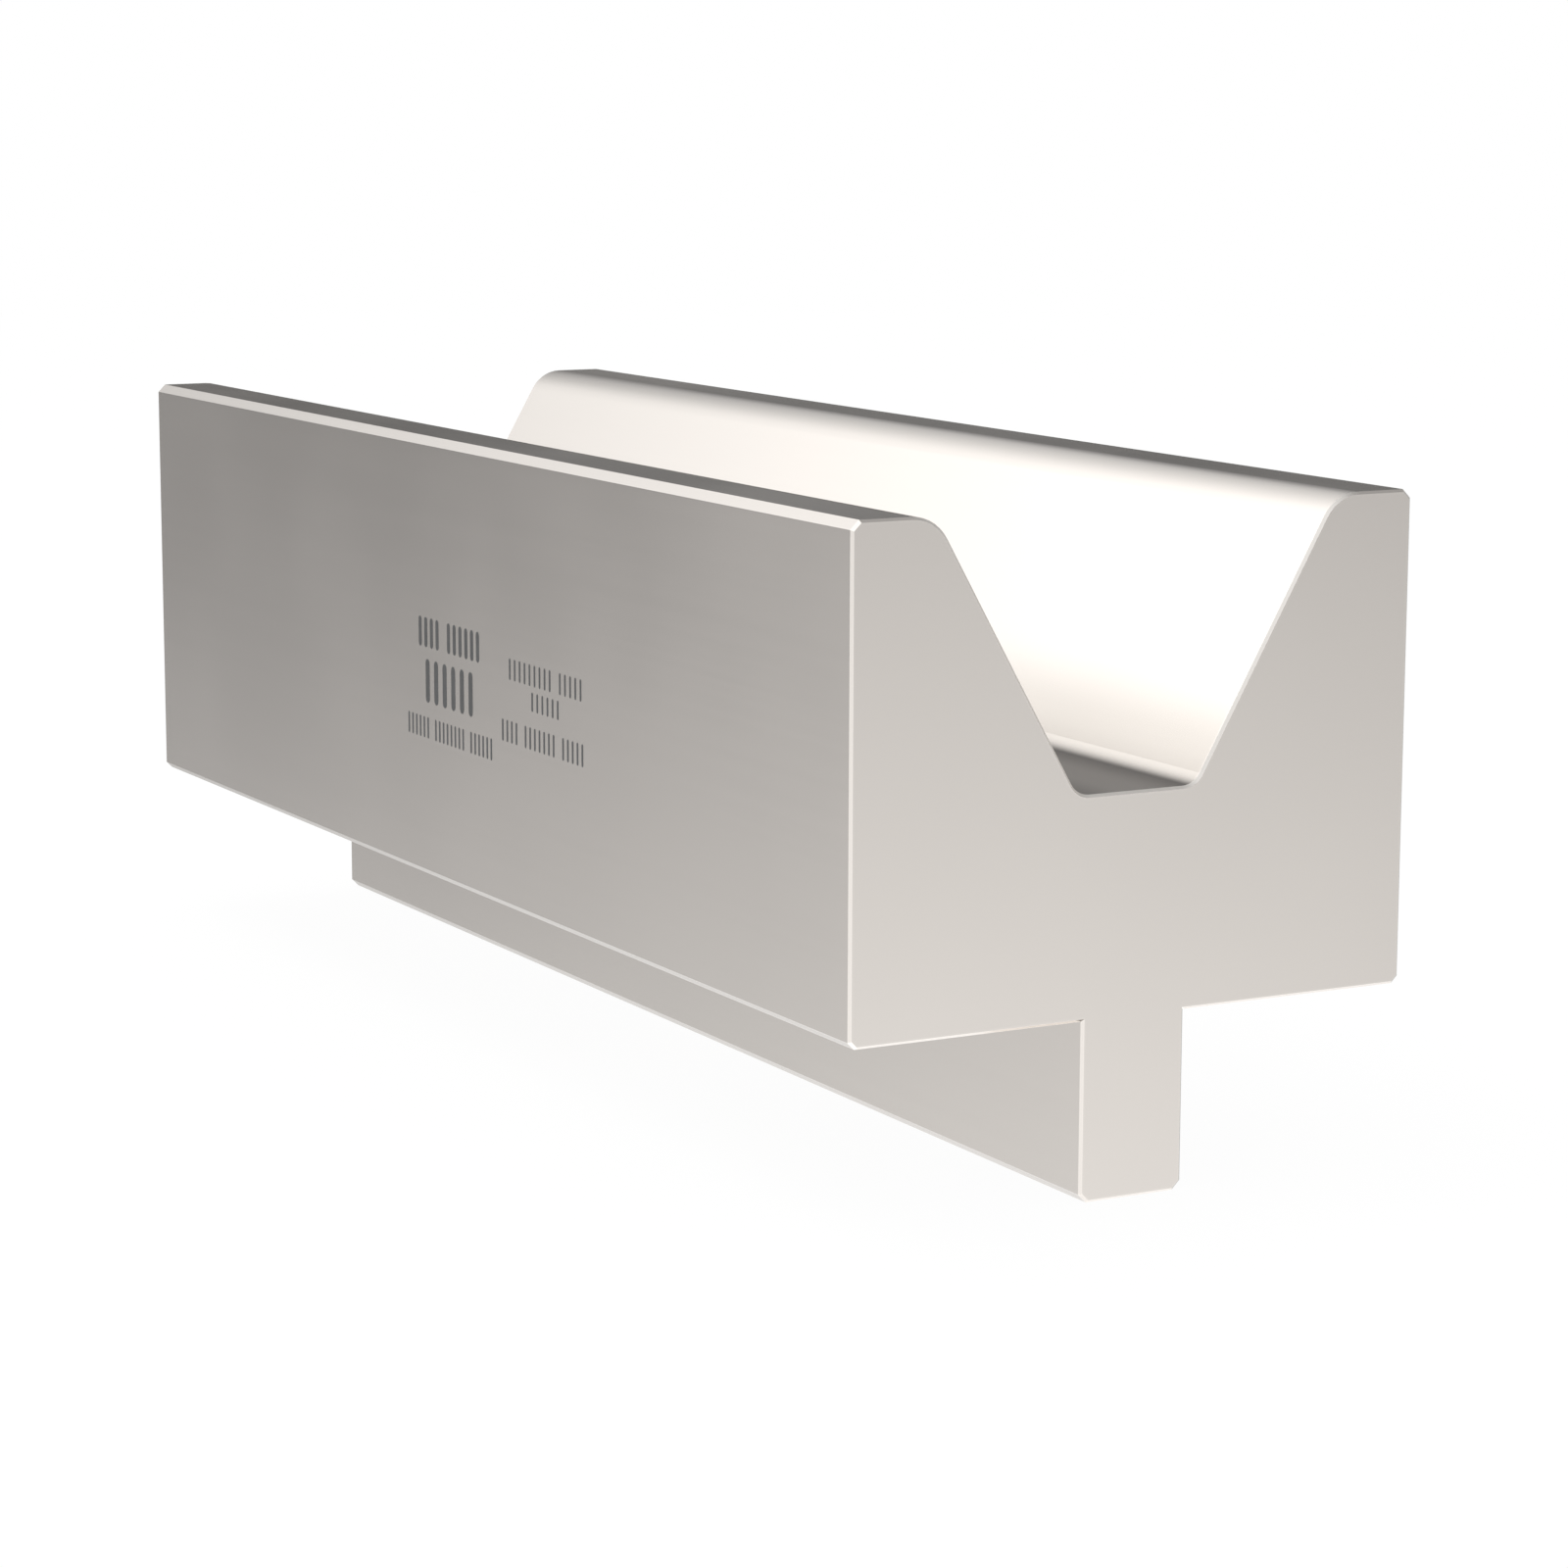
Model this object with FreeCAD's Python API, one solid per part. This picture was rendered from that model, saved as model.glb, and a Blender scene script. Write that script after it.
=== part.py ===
import FreeCAD, Part
import math
import os

# The lower tool of a press brake: one straight bar of tempered steel, planed and ground all over.
# A V groove runs along its top and a tang runs along its underside, both from end to end.
# The punch presses the sheet down into the groove, and the tang stands in the slot of the table.
#
# Millimetres. X runs along the bar, Y across it and Z up. The origin is the middle of the seat,
# the flat underside that lies on the table: the body is above zero and the tang is below.

# Driving dimensions
length = 200.0              # the bar, end to end
body_height = 55.0          # the seat up to the lands
v_opening = 50.0            # across the groove's mouth, between its corners before they are rounded
v_angle = 60.0              # between the two flanks, in degrees
v_depth = 30.5              # the lands down to the groove's flat floor
land_width = 10.0           # a corner of the mouth out to the side face, before both are finished
shoulder_radius = 5.0       # the mouth's rounded corners, which the sheet slides over
floor_radius = 2.5          # the groove's two inner corners
tang_width = 13.0           # across the tang
tang_height = 20.0          # the seat down to the tang's foot
land_chamfer = 1.0          # the long corners between the lands and the side faces
seat_chamfer = 0.8          # the long corners between the side faces and the seat
tang_chamfer = 1.0          # the long corners of the tang's foot
end_chamfer = 0.3           # the edges round both end faces

# Places that follow from them
half_mouth = v_opening / 2
half_body = half_mouth + land_width
half_tang = tang_width / 2
half_length = length / 2
half_floor = half_mouth - v_depth * math.tan(math.radians(v_angle / 2))
floor_height = body_height - v_depth

# How near an edge lies to an end face to belong to it
same_plane = 0.001


def finished_corner(before, corner, after, finish, size):
    """Where the side before a corner stops, where the side after it starts, and the edge between."""
    back = (before - corner).normalize()
    onward = (after - corner).normalize()
    if finish == "sharp":
        return corner, corner, None
    if finish == "chamfered":
        stop = corner + back * size
        start = corner + onward * size
        return stop, start, Part.LineSegment(stop, start)
    half_angle = back.getAngle(onward) / 2
    setback = size / math.tan(half_angle)
    stop = corner + back * setback
    start = corner + onward * setback
    inward = (back + onward).normalize()
    middle = corner + inward * (size / math.sin(half_angle) - size)
    return stop, start, Part.Arc(stop, middle, start)


def section_wire(corners):
    """The closed section through corners given as (y, z, finish, size), at the bar's left end."""
    points = [FreeCAD.Vector(-half_length, y, z) for y, z, finish, size in corners]
    count = len(corners)
    finished = []
    for place, (y, z, finish, size) in enumerate(corners):
        before = points[place - 1]
        after = points[(place + 1) % count]
        finished.append(finished_corner(before, points[place], after, finish, size))
    edges = []
    for place, (stop, start, corner_edge) in enumerate(finished):
        if corner_edge:
            edges.append(corner_edge.toShape())
        next_stop = finished[(place + 1) % count][0]
        edges.append(Part.LineSegment(start, next_stop).toShape())
    return Part.Wire(edges)


def make_v_die():
    """The whole die: its section drawn out along X, with the edges of both ends broken."""
    back_half = [
        (half_floor, floor_height, "rounded", floor_radius),
        (half_mouth, body_height, "rounded", shoulder_radius),
        (half_body, body_height, "chamfered", land_chamfer),
        (half_body, 0, "chamfered", seat_chamfer),
        (half_tang, 0, "sharp", 0),
        (half_tang, -tang_height, "chamfered", tang_chamfer),
    ]
    front_half = [(-y, z, finish, size) for y, z, finish, size in reversed(back_half)]
    section = Part.Face(section_wire(back_half + front_half))
    bar = section.extrude(FreeCAD.Vector(length, 0, 0))
    end_edges = []
    for edge in bar.Edges:
        if abs(abs(edge.CenterOfMass.x) - half_length) < same_plane:
            end_edges.append(edge)
    return bar.makeChamfer(end_chamfer, end_edges)


v_die = make_v_die()
box = v_die.BoundBox
print("v_die: solids", len(v_die.Solids), "valid", v_die.isValid(), "faces", len(v_die.Faces))
print("size", round(box.XLength, 3), round(box.YLength, 3), round(box.ZLength, 3))
print("volume in cm3", round(v_die.Volume / 1000, 2), "groove floor", round(2 * half_floor, 2))

os.makedirs("parts", exist_ok=True)
v_die.exportStep("parts/v_die.step")
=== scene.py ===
# %% [markdown]
# # A press brake V die
# A V die is the lower tool of a press brake. It is one straight bar of tool steel, hardened
# and then ground all over, with a V groove along its top and a tang along its underside.
#
# The bar's shape comes from the CAD model, so this lesson is about everything else that makes
# the bar look real: the surroundings that it mirrors, the way it was ground, its broken edges,
# and the marking that a laser drew on it. Bare metal has no colour of its own to speak of. It
# shows what stands round it, so the studio is half of the material.

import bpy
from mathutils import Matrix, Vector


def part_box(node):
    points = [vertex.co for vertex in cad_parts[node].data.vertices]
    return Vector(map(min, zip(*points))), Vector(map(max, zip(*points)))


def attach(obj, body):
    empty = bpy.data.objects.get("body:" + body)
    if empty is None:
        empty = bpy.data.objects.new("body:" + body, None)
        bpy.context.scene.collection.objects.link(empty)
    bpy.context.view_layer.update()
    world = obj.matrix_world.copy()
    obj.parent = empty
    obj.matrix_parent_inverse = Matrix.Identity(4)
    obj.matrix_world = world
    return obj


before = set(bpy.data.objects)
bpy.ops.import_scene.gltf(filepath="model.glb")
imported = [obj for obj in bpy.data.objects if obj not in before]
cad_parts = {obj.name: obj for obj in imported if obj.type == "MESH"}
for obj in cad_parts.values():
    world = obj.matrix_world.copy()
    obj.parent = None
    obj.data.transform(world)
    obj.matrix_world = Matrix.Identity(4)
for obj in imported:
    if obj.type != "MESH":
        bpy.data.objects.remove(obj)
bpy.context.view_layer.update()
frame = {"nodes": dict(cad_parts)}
print("nodes:", ", ".join(frame["nodes"]))

# %% Tools of this lesson
import math

import bmesh
import bpy
from mathutils import Quaternion, Vector

mm = 0.001
v_die = frame["nodes"]["v_die"]
low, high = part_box("v_die")
middle = (low + high) / 2
print("v_die, mm:", [round(side / mm, 1) for side in high - low], "floor at", round(low.z / mm, 1))

# %% [markdown]
# ## The camera
# A long lens from a little above shows the front face, one end and down into the groove. The
# camera is set by how it stands to the bar: a point to look at, a turn about the upright axis,
# a height angle and a distance. A track-to constraint would do the same, but plain geometry can
# be read and printed.

# %% Stand the camera
def direction(turn, height):
    """A unit vector, turned from the front (-Y) towards the right end (+X), and raised, in degrees."""
    turn = math.radians(turn)
    height = math.radians(height)
    level = math.cos(height)
    return Vector((math.sin(turn) * level, -math.cos(turn) * level, math.sin(height)))


camera_turn = 61.39
camera_height = 9.76
camera_roll = 0.165
camera_distance = 537.4 * mm
camera_lens = 97.3
look_at = middle + Vector((6.12, 8.5, -7.28)) * mm

camera_data = bpy.data.cameras.new("camera")
camera_data.lens = camera_lens
camera = bpy.data.objects.new("camera", camera_data)
bpy.context.scene.collection.objects.link(camera)
backwards = direction(camera_turn, camera_height)
upright = backwards.to_track_quat("Z", "Y")
tipped = Quaternion((0, 0, 1), math.radians(camera_roll))
camera.rotation_mode = "QUATERNION"
camera.rotation_quaternion = upright @ tipped
camera.location = look_at + backwards * camera_distance
bpy.context.scene.camera = camera
print("camera, mm:", [round(place / mm, 1) for place in camera.location])

# %% [markdown]
# ## Small helpers for shader nodes
# Each finish below is many nodes deep. A few helpers keep them short to read: they add a node,
# feed a socket with either a number or another node's output, do a step of arithmetic, stretch
# a range of values, or turn one value into another. The last one adds a mesh to the scene.

# %% Node helpers
def add_node(tree, kind, **settings):
    """A new node of that kind with its settings."""
    node = tree.nodes.new(kind)
    for name, value in settings.items():
        setattr(node, name, value)
    return node


def feed(tree, socket, source):
    """Feeds a socket with another node's output, or sets it to a plain value."""
    if isinstance(source, bpy.types.NodeSocket):
        tree.links.new(source, socket)
    else:
        socket.default_value = source


def work_out(tree, operation, *sources):
    """One step of arithmetic on numbers or outputs. Returns the output."""
    node = add_node(tree, "ShaderNodeMath", operation=operation)
    for socket, source in zip(node.inputs, sources):
        feed(tree, socket, source)
    return node.outputs["Value"]


def spread(tree, source, from_low, from_high, to_low, to_high):
    """Stretches a range of values smoothly onto another one, and stops at its ends."""
    node = add_node(tree, "ShaderNodeMapRange", interpolation_type="SMOOTHSTEP")
    for socket, value in zip(node.inputs, (source, from_low, from_high, to_low, to_high)):
        feed(tree, socket, value)
    return node.outputs["Result"]


def average(tree, first, second):
    """The average of two outputs."""
    return work_out(tree, "MULTIPLY", work_out(tree, "ADD", first, second), 0.5)


def mix_numbers(tree, share, first, second):
    """One number turning into another."""
    node = add_node(tree, "ShaderNodeMix", data_type="FLOAT")
    for name, source in (("Factor", share), ("A", first), ("B", second)):
        feed(tree, node.inputs[name], source)
    return node.outputs["Result"]


def mix_colours(tree, share, first, second):
    """One colour turning into another. The node's colour sockets share their names with others."""
    node = add_node(tree, "ShaderNodeMix", data_type="RGBA")
    colour_sockets = [socket for socket in node.inputs if socket.type == "RGBA"]
    feed(tree, node.inputs[0], share)
    feed(tree, colour_sockets[0], first)
    feed(tree, colour_sockets[1], second)
    return [socket for socket in node.outputs if socket.type == "RGBA"][0]


def seen_ray(tree):
    """1 for a ray that shows the background, straight or in a mirror or glass, and 0 for light."""
    path = add_node(tree, "ShaderNodeLightPath")
    straight_or_mirrored = work_out(
        tree, "MAXIMUM", path.outputs["Is Camera Ray"], path.outputs["Is Glossy Ray"]
    )
    return work_out(tree, "MAXIMUM", straight_or_mirrored, path.outputs["Is Transmission Ray"])


def add_to_scene(name, mesh, finish):
    """A new object from a mesh, with one material, at the origin."""
    mesh.materials.append(finish)
    thing = bpy.data.objects.new(name, mesh)
    bpy.context.scene.collection.objects.link(thing)
    return thing


print("helpers ready")

# %% [markdown]
# ## The room
# The world gives the soft light that fills a white room. Light Path tells apart the rays that
# show the background, which get a plain white, from the rays that carry light to a surface. So
# the backdrop can be white without more light than the tool needs.

# %% A white room
white = (1.0, 1.0, 1.0, 1.0)
white_backdrop = 1.0
room_light = 1.1

world = bpy.data.worlds.new("white_room")
bpy.context.scene.world = world
world.use_nodes = True
room = world.node_tree
room.nodes.clear()
backdrop = add_node(room, "ShaderNodeBackground")
feed(room, backdrop.inputs["Color"], white)
feed(room, backdrop.inputs["Strength"], white_backdrop)
filling = add_node(room, "ShaderNodeBackground")
feed(room, filling.inputs["Color"], white)
feed(room, filling.inputs["Strength"], room_light)
either = add_node(room, "ShaderNodeMixShader")
feed(room, either.inputs[0], seen_ray(room))
feed(room, either.inputs[1], filling.outputs["Background"])
feed(room, either.inputs[2], backdrop.outputs["Background"])
room_output = add_node(room, "ShaderNodeOutputWorld")
feed(room, room_output.inputs["Surface"], either.outputs["Shader"])

bpy.context.scene.view_settings.view_transform = "Standard"
print("room light", room_light)

# %% [markdown]
# ## The floor and the lamp
# The die stands on a white floor. A floor that is lit until it is white would need far too much
# light for the steel. Instead, most of what the camera sees of the floor is a plain glow at the
# strength of white, and the rest is real paint that the light falls on. The share of paint sets
# how dark the shadow gets.

# %% Lay the floor
floor_reach = 1500 * mm
floor_segments = 96
paint_colour = (0.9, 0.9, 0.9, 1.0)
glow_share = 0.96

floor_paint = bpy.data.materials.new("floor_paint")
floor_paint.use_nodes = True
paint = floor_paint.node_tree
paint.nodes.clear()
matt = add_node(paint, "ShaderNodeBsdfDiffuse")
feed(paint, matt.inputs["Color"], paint_colour)
glow = add_node(paint, "ShaderNodeEmission")
feed(paint, glow.inputs["Color"], white)
feed(paint, glow.inputs["Strength"], white_backdrop)
blend = add_node(paint, "ShaderNodeMixShader")
feed(paint, blend.inputs[0], work_out(paint, "MULTIPLY", seen_ray(paint), glow_share))
feed(paint, blend.inputs[1], matt.outputs["BSDF"])
feed(paint, blend.inputs[2], glow.outputs["Emission"])
paint_output = add_node(paint, "ShaderNodeOutputMaterial")
feed(paint, paint_output.inputs["Surface"], blend.outputs["Shader"])
floor_paint.cycles.emission_sampling = "NONE"

floor_shape = bmesh.new()
bmesh.ops.create_circle(floor_shape, cap_ends=True, segments=floor_segments, radius=floor_reach)
bmesh.ops.translate(floor_shape, verts=floor_shape.verts, vec=(0, 0, low.z))
floor_mesh = bpy.data.meshes.new("floor")
floor_shape.to_mesh(floor_mesh)
floor_shape.free()
floor = add_to_scene("floor", floor_mesh, floor_paint)
floor.visible_glossy = False
print("floor at", round(low.z / mm, 2), "mm, share of glow", glow_share)

# %% [markdown]
# One lamp overhead gives the die its faint shadow. A sun or a point lamp would draw the shadow
# with a hard edge. A disk that is three times as wide as the bar is long makes it soft.

# %% Hang the lamp
lamp_size = 600 * mm
lamp_power = 3.0
lamp_place = Vector((-150, -200, 900)) * mm

lamp_data = bpy.data.lights.new("overhead_lamp", "AREA")
lamp_data.shape = "DISK"
lamp_data.size = lamp_size
lamp_data.energy = lamp_power
lamp = bpy.data.objects.new("overhead_lamp", lamp_data)
lamp.location = lamp_place
lamp.rotation_mode = "QUATERNION"
lamp.rotation_quaternion = (lamp_place - middle).to_track_quat("Z", "Y")
lamp.visible_glossy = False
bpy.context.scene.collection.objects.link(lamp)
print("lamp", lamp_power, "W at", [round(place / mm) for place in lamp_place])

# %% [markdown]
# ## What the steel mirrors
# Bare metal is shown in a tent of white cloth that is lit from outside. Brighter patches of
# cloth and of the table's paper draw the highlights, and dark cards near the horizon give the
# flat tops their depth. Without them everything would be the same pale grey.
#
# The tent could be made of many cards with blurred edges, but they would hide each other. One
# ball round the tool with its brightness painted on by direction does the same and stays smooth:
# its upper half stands for the cloth and its lower half for the paper. The camera doesn't see
# the tent, and it sends no light to the floor: only mirrored rays meet it.
#
# Each patch is a soft bump: exp((cos(angle) - 1) / width squared), which is close to a bell
# curve of that width and needs only one dot product.
#
# Most of the places, widths and strengths below weren't set by eye. A solver worked out how bright
# each face of the steel comes out and searched for them. A few were then changed, and all were
# rounded. To light another tool, start from three or four patches.

# %% Paint the tent
tent_reach = 3000 * mm
tent_segments = 96
cloth_level = 0.32

# name: azimuth from +X towards +Y, elevation, width, all in degrees, and strength
patches = {
    "key_window": (-137, 40.5, 35, 1.74),
    "flank_window": (-144, 28, 6, 0.54),
    "near_window": (-42, 41, 13.5, 1.70),
    "back_window": (91, -1, 9, 2.20),
    "far_card": (172, 4, 16, -1.94),
    "far_window": (157, 15.5, 11, 0.53),
    "side_card": (141, 9, 13, -0.65),
    "right_paper": (28, -23.5, 15.5, 1.17),
    "near_paper": (-58, -20.5, 19, 1.15),
    "back_paper": (100, -61, 14, 0.88),
    "under_paper": (-112, -53, 6, 2.40),
    "left_card": (-153, -1.5, 9.5, -1.07),
    "far_paper": (174, -35, 40, 0.78),
    "glint_paper": (-46, -67, 6, 2.20),
    "corner_paper": (-92, -69, 6, 1.50),
}


def soft_patch(tree, towards, azimuth, elevation, width, strength):
    """How much one patch adds to the tent's brightness in the direction of the ray."""
    azimuth = math.radians(azimuth)
    elevation = math.radians(elevation)
    level = math.cos(elevation)
    axis = (math.cos(azimuth) * level, math.sin(azimuth) * level, math.sin(elevation))
    nearness = add_node(tree, "ShaderNodeVectorMath", operation="DOT_PRODUCT")
    feed(tree, nearness.inputs[0], towards)
    feed(tree, nearness.inputs[1], axis)
    away = work_out(tree, "SUBTRACT", nearness.outputs["Value"], 1.0)
    scaled = work_out(tree, "DIVIDE", away, math.radians(width) ** 2)
    bump = work_out(tree, "EXPONENT", scaled)
    return work_out(tree, "MULTIPLY", bump, strength)


tent_cloth = bpy.data.materials.new("tent_cloth")
tent_cloth.use_nodes = True
cloth = tent_cloth.node_tree
cloth.nodes.clear()
cloth_place = add_node(cloth, "ShaderNodeTexCoord")
towards = add_node(cloth, "ShaderNodeVectorMath", operation="NORMALIZE")
feed(cloth, towards.inputs[0], cloth_place.outputs["Object"])
brightness = cloth_level
for azimuth, elevation, width, strength in patches.values():
    patch = soft_patch(cloth, towards.outputs["Vector"], azimuth, elevation, width, strength)
    brightness = work_out(cloth, "ADD", brightness, patch)
shine = add_node(cloth, "ShaderNodeEmission")
feed(cloth, shine.inputs["Color"], white)
feed(cloth, shine.inputs["Strength"], work_out(cloth, "MAXIMUM", brightness, 0.0))
cloth_output = add_node(cloth, "ShaderNodeOutputMaterial")
feed(cloth, cloth_output.inputs["Surface"], shine.outputs["Emission"])
tent_cloth.cycles.emission_sampling = "NONE"

tent_shape = bmesh.new()
tent_rings = tent_segments // 2
bmesh.ops.create_uvsphere(tent_shape, u_segments=tent_segments, v_segments=tent_rings, radius=tent_reach)
tent_mesh = bpy.data.meshes.new("tent")
tent_shape.to_mesh(tent_mesh)
tent_shape.free()
tent = add_to_scene("tent", tent_mesh, tent_cloth)
tent.visible_camera = False
tent.visible_diffuse = False
tent.visible_shadow = False
print("tent patches:", ", ".join(patches))

# %% [markdown]
# ## Ground steel
# The faces were finished on a surface grinder. Each grain of the wheel leaves a shallow line
# along the bar, and the ends were ground across. The lines are far finer than the light and
# dark on the faces, so they belong in the shader: a noise that is stretched a long way along
# the stroke and hardly at all across it. It tips the surface a little and changes its gloss.
#
# The stretched noise is read from object coordinates, so it stays on the steel when the tool is
# turned, and the end faces take the other direction by their normal.

# %% Find the places on the bar
end_facing = 0.9

ground_steel = bpy.data.materials.new("ground_steel")
ground_steel.use_nodes = True
steel = ground_steel.node_tree
steel.nodes.clear()
place = add_node(steel, "ShaderNodeTexCoord")
place_parts = add_node(steel, "ShaderNodeSeparateXYZ")
feed(steel, place_parts.inputs[0], place.outputs["Object"])
normal_parts = add_node(steel, "ShaderNodeSeparateXYZ")
feed(steel, normal_parts.inputs[0], place.outputs["Normal"])
faces_end = work_out(steel, "ABSOLUTE", normal_parts.outputs["X"])
on_end_face = work_out(steel, "GREATER_THAN", faces_end, end_facing)
print("an end face looks along X by more than", end_facing)

# %% Grinding lines
line_length = 120 * mm
line_width = 0.8 * mm
noise_detail = 4.0
noise_roughness = 0.6


def stretched_noise(tree, coordinates, stretch):
    """Noise drawn out into lines: stretch gives the size of a line along each axis."""
    sized = add_node(tree, "ShaderNodeVectorMath", operation="DIVIDE")
    feed(tree, sized.inputs[0], coordinates)
    feed(tree, sized.inputs[1], stretch)
    noise = add_node(tree, "ShaderNodeTexNoise", noise_dimensions="3D")
    feed(tree, noise.inputs["Vector"], sized.outputs["Vector"])
    feed(tree, noise.inputs["Scale"], 1.0)
    feed(tree, noise.inputs["Detail"], noise_detail)
    feed(tree, noise.inputs["Roughness"], noise_roughness)
    return noise.outputs["Fac"]


along_bar = stretched_noise(steel, place.outputs["Object"], (line_length, line_width, line_width))
across_end = stretched_noise(steel, place.outputs["Object"], (line_width, line_length, line_width))
lines = mix_numbers(steel, on_end_face, along_bar, across_end)
print("grinding lines", line_width / mm, "mm wide")

# %% [markdown]
# A face that was ground in many passes isn't quite even: its gloss drifts over a few
# centimetres. A painted picture could show that, but it would need the mesh unwrapped. A second
# noise, as large as the drift and the same in all directions, needs only a place.

# %% Slow changes over the faces
cloud_size = 45 * mm
cloud_detail = 2.0
cloud_noise = add_node(steel, "ShaderNodeTexNoise", noise_dimensions="3D")
feed(steel, cloud_noise.inputs["Vector"], place.outputs["Object"])
feed(steel, cloud_noise.inputs["Scale"], 1 / cloud_size)
feed(steel, cloud_noise.inputs["Detail"], cloud_detail)
clouds = cloud_noise.outputs["Fac"]
print("clouds", cloud_size / mm, "mm across")

# %% [markdown]
# Broken edges take the most handling, so they are a little brighter and smoother than the
# faces. The Bevel node looks for edges: it returns a rounded normal near them, and where that
# leans away from the face's own normal there is an edge within its radius.

# %% Find the edges
edge_reach = 0.5 * mm
edge_samples = 4
edge_starts = 0.01
edge_full = 0.12

rounded = add_node(steel, "ShaderNodeBevel", samples=edge_samples)
feed(steel, rounded.inputs["Radius"], edge_reach)
face_normal = add_node(steel, "ShaderNodeNewGeometry").outputs["Normal"]
agreement = add_node(steel, "ShaderNodeVectorMath", operation="DOT_PRODUCT")
feed(steel, agreement.inputs[0], rounded.outputs["Normal"])
feed(steel, agreement.inputs[1], face_normal)
lean = work_out(steel, "SUBTRACT", 1.0, agreement.outputs["Value"])
on_edge = spread(steel, lean, edge_starts, edge_full, 0.0, 1.0)
print("edges within", edge_reach / mm, "mm")

# %% [markdown]
# The edges that lean down are coloured much brighter than the rest: a painted highlight, a
# glint along the lower edges.

# %% Find the edges for the painted highlight
highlight_starts = 0.5
highlight_full = 0.7

downward = work_out(steel, "MULTIPLY", normal_parts.outputs["Z"], -1.0)
leans_down = spread(steel, downward, highlight_starts, highlight_full, 0.0, 1.0)
print("edges are rubbed where they look down by more than", highlight_starts)

# %% [markdown]
# The groove's floor only clears the sheet, so nobody grinds it: it keeps the duller face that
# milling and hardening left. Its dark colour is partly that face and partly painted shade at the
# bottom of the groove, and the dark runs a little way up its round corners, painted darker still
# towards them.
# The CAD mesh tells where that floor is: it is the lowest flat face that looks straight up.

# %% Measure the groove's floor
straight_up = 0.99
same_height = 0.1 * mm

flat_tops = [face for face in v_die.data.polygons if face.normal.z > straight_up]
groove_floor = min(face.center.z for face in flat_tops)
floor_faces = [face for face in flat_tops if face.center.z - groove_floor < same_height]
floor_corners = [v_die.data.vertices[corner].co for face in floor_faces for corner in face.vertices]
floor_half = max(abs(corner.y) for corner in floor_corners)
print("groove floor at", round(groove_floor / mm, 2), "mm, half width", round(floor_half / mm, 2), "mm")

# %% Find the groove's floor in the shader
dark_run = 1.3 * mm
dark_rise = 0.6 * mm
side_facing = 0.5
corner_starts = 0.2 * floor_half
corner_full = 1.1 * floor_half

off_middle = work_out(steel, "ABSOLUTE", place_parts.outputs["Y"])
inside_groove = spread(steel, off_middle, floor_half, floor_half + dark_run, 1.0, 0.0)
off_floor = work_out(steel, "SUBTRACT", place_parts.outputs["Z"], groove_floor)
at_floor = work_out(steel, "LESS_THAN", work_out(steel, "ABSOLUTE", off_floor), dark_rise)
not_on_end = work_out(steel, "LESS_THAN", faces_end, side_facing)
milled_and_shaded = work_out(steel, "MULTIPLY", inside_groove, at_floor)
milled_and_shaded = work_out(steel, "MULTIPLY", milled_and_shaded, not_on_end)
# painted shade, darker towards the corners of the groove's floor
painted_corner_shade = spread(steel, off_middle, corner_starts, corner_full, 0.0, 1.0)
print("milled band", round(2 * (floor_half + dark_run) / mm, 1), "mm wide")

# %% [markdown]
# The lowest centimetre of each flank is coloured gradually darker and a little warmer towards
# the groove's floor. That is painted shade, deep in the groove where the flanks face each other.
# Nothing else but the groove lies at that height so near to the middle, so a place is enough to
# pick it out.

# %% Find the foot of the flanks
groove_half = 20 * mm
darkest_until = 4 * mm
bright_from = 11 * mm

above_floor = work_out(steel, "GREATER_THAN", off_floor, -dark_rise)
in_groove = work_out(steel, "LESS_THAN", off_middle, groove_half)
# where the painted shade at the foot of the flanks goes
flank_foot_shade = work_out(steel, "MULTIPLY", above_floor, in_groove)
flank_foot_shade = work_out(steel, "MULTIPLY", flank_foot_shade, not_on_end)
near_floor = spread(steel, off_floor, darkest_until, bright_from, 1.0, 0.0)
flank_foot_shade = work_out(steel, "MULTIPLY", flank_foot_shade, near_floor)
print("flanks duller up to", bright_from / mm, "mm from the floor")

# %% [markdown]
# The edges where the groove runs out at the ends were only broken by hand with a stone. That
# leaves them pale and matt, so no glint runs down them. They are the narrow faces round the
# groove that lean towards an end without being the end face itself. Round the shoulders the
# stone was lifted off bit by bit, so the matt fades out there.

# %% Find the groove's end edges
matt_until = 25.5 * mm
matt_ends = 28.5 * mm
end_lean = 0.3

leans_to_end = work_out(steel, "GREATER_THAN", faces_end, end_lean)
slanted = work_out(steel, "SUBTRACT", leans_to_end, on_end_face)
by_the_groove = spread(steel, off_middle, matt_until, matt_ends, 1.0, 0.0)
stoned = work_out(steel, "MULTIPLY", slanted, by_the_groove)
stoned = work_out(steel, "MULTIPLY", stoned, above_floor)
print("stoned edges lie within", matt_ends / mm, "mm of the middle")

# %% [markdown]
# With every place found, the steel is mixed from its colours in order: the ground faces first,
# then the painted shade at the foot of the flanks, the edges with a painted highlight on those that
# lean down, and the milled floor with its painted shade over all. The steel is a touch warm, as
# hardened tool steel is. Ground faces blur what they mirror a little, edges less, and the stoned
# edges and the milled floor far more.

# %% Colour the steel
steel_colour = (0.61, 0.576, 0.543, 1.0)
darker_share = 0.99
edge_colour = (0.64, 0.605, 0.57, 1.0)
# painted highlight on the edges that lean down
down_edge_highlight_colour = (0.88, 0.84, 0.80, 1.0)
# painted shade at the foot of the groove's flanks
flank_foot_shade_colour = (0.51, 0.477, 0.442, 1.0)
stoned_colour = (0.73, 0.705, 0.675, 1.0)
# partly the milled face and partly painted shade at the bottom of the groove
milled_and_shaded_colour = (0.205, 0.195, 0.185, 1.0)
# painted shade towards the corners of the groove's floor
painted_corner_shade_colour = (0.13, 0.123, 0.117, 1.0)
# an average of two noises seldom leaves this range
average_low = 0.35
average_high = 0.65

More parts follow.
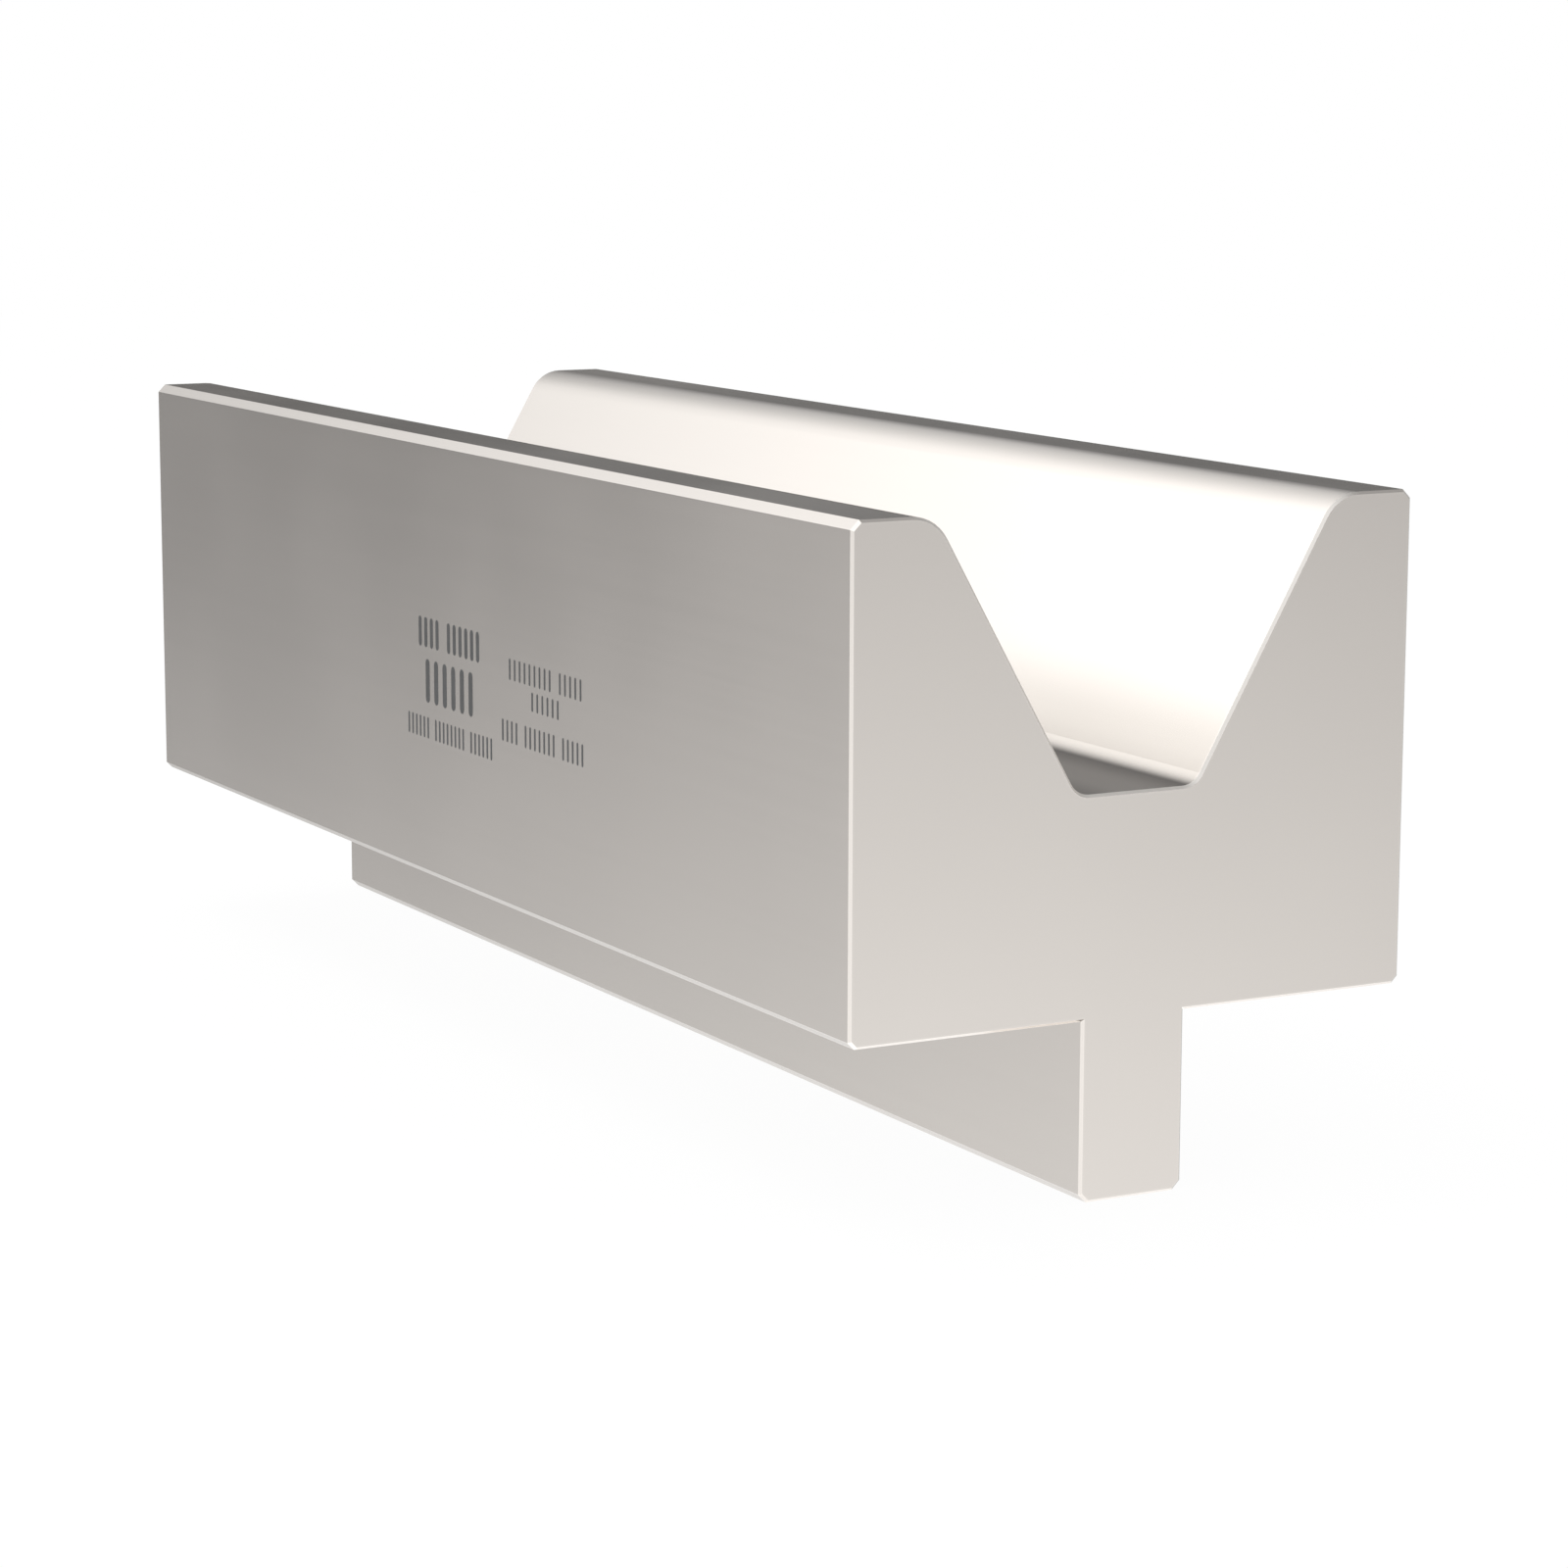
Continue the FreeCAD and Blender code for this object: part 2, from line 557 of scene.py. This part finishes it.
darker_steel = tuple(part * darker_share for part in steel_colour[:3]) + (1.0,)
evenness = average(steel, clouds, lines)
light_part = spread(steel, evenness, average_low, average_high, 0.0, 1.0)
face_colour = mix_colours(steel, light_part, darker_steel, steel_colour)
# edge wear, with the painted highlight on the edges that lean down
edge_wear_and_highlight_colour = mix_colours(steel, leans_down, edge_colour, down_edge_highlight_colour)
foot_shade_added = mix_colours(steel, flank_foot_shade, face_colour, flank_foot_shade_colour)
edges_added = mix_colours(steel, on_edge, foot_shade_added, edge_wear_and_highlight_colour)
stoned_added = mix_colours(steel, stoned, edges_added, stoned_colour)
floor_colour_and_shade = mix_colours(steel, painted_corner_shade, milled_and_shaded_colour, painted_corner_shade_colour)
whole_colour = mix_colours(steel, milled_and_shaded, stoned_added, floor_colour_and_shade)
print("ground steel:", steel_colour[:3])

# %% Set how much it blurs
face_blur_low = 0.235
face_blur_high = 0.26
line_blur = 0.003
edge_blur = 0.2
stoned_blur = 0.6
milled_blur = 0.55
# one noise alone seldom leaves this range
noise_low = 0.3
noise_high = 0.7

cloud_part = spread(steel, clouds, noise_low, noise_high, face_blur_low, face_blur_high)
line_part = spread(steel, lines, noise_low, noise_high, -line_blur, line_blur)
face_blur = work_out(steel, "ADD", cloud_part, line_part)
edged_blur = mix_numbers(steel, on_edge, face_blur, edge_blur)
stoned_added_blur = mix_numbers(steel, stoned, edged_blur, stoned_blur)
whole_blur = mix_numbers(steel, milled_and_shaded, stoned_added_blur, milled_blur)
print("roughness", face_blur_low, "to", face_blur_high, "on the faces")

# %% Put the steel together
line_depth = 0.0001 * mm

raised = add_node(steel, "ShaderNodeBump")
feed(steel, raised.inputs["Strength"], 1.0)
feed(steel, raised.inputs["Distance"], line_depth)
feed(steel, raised.inputs["Height"], lines)

steel_shader = add_node(steel, "ShaderNodeBsdfPrincipled")
feed(steel, steel_shader.inputs["Metallic"], 1.0)
feed(steel, steel_shader.inputs["Base Color"], whole_colour)
feed(steel, steel_shader.inputs["Roughness"], whole_blur)
feed(steel, steel_shader.inputs["Normal"], raised.outputs["Normal"])
steel_output = add_node(steel, "ShaderNodeOutputMaterial")
feed(steel, steel_output.inputs["Surface"], steel_shader.outputs["BSDF"])

v_die.material_slots[0].material = ground_steel
print("v_die faces:", len(v_die.data.polygons), "material:", v_die.material_slots[0].material.name)

# %% [markdown]
# ## The marking
# A laser marks the tool on its front face. It takes no metal away: its heat leaves a thin grey
# oxide, so the marks are flush, and duller than the ground steel round them. On this tool rows
# of plain bars stand where a maker would write.
#
# Masks in the steel's material could draw the bars, but a mesh is easier to read and to change.
# Each mark is a thin closed plate. It starts just inside the face and ends a hundredth of a
# millimetre outside it, so the two surfaces never share a plane and never flicker.

# %% Thin plates and bars
mark_inside = 0.02 * mm
mark_outside = 0.01 * mm
round_steps = 6
half_turn = 180


def lay_plate(shape, outline):
    """A thin closed plate on the front face. Its outline is (right, up), in mm from mid-seat."""
    inner = [shape.verts.new((right * mm, low.y + mark_inside, up * mm)) for right, up in outline]
    outer = [shape.verts.new((right * mm, low.y - mark_outside, up * mm)) for right, up in outline]
    shape.faces.new(inner)
    shape.faces.new(outer)
    for place in range(len(outline)):
        shape.faces.new((inner[place - 1], inner[place], outer[place], outer[place - 1]))


def round_bar(middle_right, foot, width, height):
    """The outline of an upright bar with round ends."""
    radius = width / 2
    outline = []
    for centre_up, first_angle in ((foot + radius, half_turn), (foot + height - radius, 0)):
        for step in range(round_steps + 1):
            angle = math.radians(first_angle + half_turn * step / round_steps)
            right = middle_right + radius * math.cos(angle)
            up = centre_up + radius * math.sin(angle)
            outline.append((right, up))
    return outline


def draw_row(shape, left, right, foot, height, width, groups):
    """A row of upright bars in groups, which fills the face from left to right."""
    places = sum(groups) + len(groups) - 1
    pitch = (right - left - width) / (places - 1)
    middle_right = left + width / 2
    for count in groups:
        for _ in range(count):
            lay_plate(shape, round_bar(middle_right, foot, width, height))
            middle_right += pitch
        middle_right += pitch


print("a mark is", round((mark_inside + mark_outside) / mm, 2), "mm thick")

# %% Mark the front face
# left end, right end, foot, height and width of a bar, all in mm, and the bars in each group
bar_rows = [
    (-9.0, 9.0, 28.9, 3.8, 0.90, (4, 6)),
    (-7.0, 7.0, 22.0, 5.5, 1.20, (6,)),
    (-12.5, 12.5, 17.5, 2.7, 0.45, (6, 8, 6)),
    (17.5, 37.2, 28.0, 2.6, 0.45, (9, 5)),
    (23.7, 31.1, 25.0, 2.3, 0.45, (6,)),
    (15.4, 37.6, 20.4, 2.7, 0.45, (4, 7, 5)),
]

marks = bmesh.new()
for row in bar_rows:
    draw_row(marks, *row)
bmesh.ops.recalc_face_normals(marks, faces=marks.faces)
marks_mesh = bpy.data.meshes.new("laser_marking")
marks.to_mesh(marks_mesh)
marks.free()
print("marks:", sum(sum(row[-1]) for row in bar_rows), "faces:", len(marks_mesh.polygons))

# %% [markdown]
# The laser fills each mark with fine upright strokes, so the oxide is a little streaky, and
# where the heat stayed longer it is darker. The noise that drew the grinding lines draws these
# strokes too, only shorter and upright.

# %% Finish the marks
stroke_length = 4 * mm
stroke_width = 0.12 * mm
patch_size = 1.5 * mm
dark_oxide = (0.036, 0.037, 0.037, 1.0)
light_oxide = (0.058, 0.059, 0.059, 1.0)
oxide_blur_low = 0.45
oxide_blur_high = 0.6
stroke_depth = 0.001 * mm

laser_marks = bpy.data.materials.new("laser_marks")
laser_marks.use_nodes = True
oxide = laser_marks.node_tree
oxide.nodes.clear()
oxide_place = add_node(oxide, "ShaderNodeTexCoord").outputs["Object"]
strokes = stretched_noise(oxide, oxide_place, (stroke_width, stroke_width, stroke_length))
patchy = stretched_noise(oxide, oxide_place, (patch_size, patch_size, patch_size))
heat = average(oxide, strokes, patchy)
less_heat = spread(oxide, heat, average_low, average_high, 0.0, 1.0)
oxide_colour = mix_colours(oxide, less_heat, dark_oxide, light_oxide)
oxide_blur = mix_numbers(oxide, less_heat, oxide_blur_low, oxide_blur_high)
stroke_relief = add_node(oxide, "ShaderNodeBump")
feed(oxide, stroke_relief.inputs["Strength"], 1.0)
feed(oxide, stroke_relief.inputs["Distance"], stroke_depth)
feed(oxide, stroke_relief.inputs["Height"], strokes)
oxide_shader = add_node(oxide, "ShaderNodeBsdfPrincipled")
feed(oxide, oxide_shader.inputs["Base Color"], oxide_colour)
feed(oxide, oxide_shader.inputs["Roughness"], oxide_blur)
feed(oxide, oxide_shader.inputs["Normal"], stroke_relief.outputs["Normal"])
oxide_output = add_node(oxide, "ShaderNodeOutputMaterial")
feed(oxide, oxide_output.inputs["Surface"], oxide_shader.outputs["BSDF"])

laser_marking = add_to_scene("laser_marking", marks_mesh, laser_marks)
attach(laser_marking, "root")
print("marking rows:", len(bar_rows))
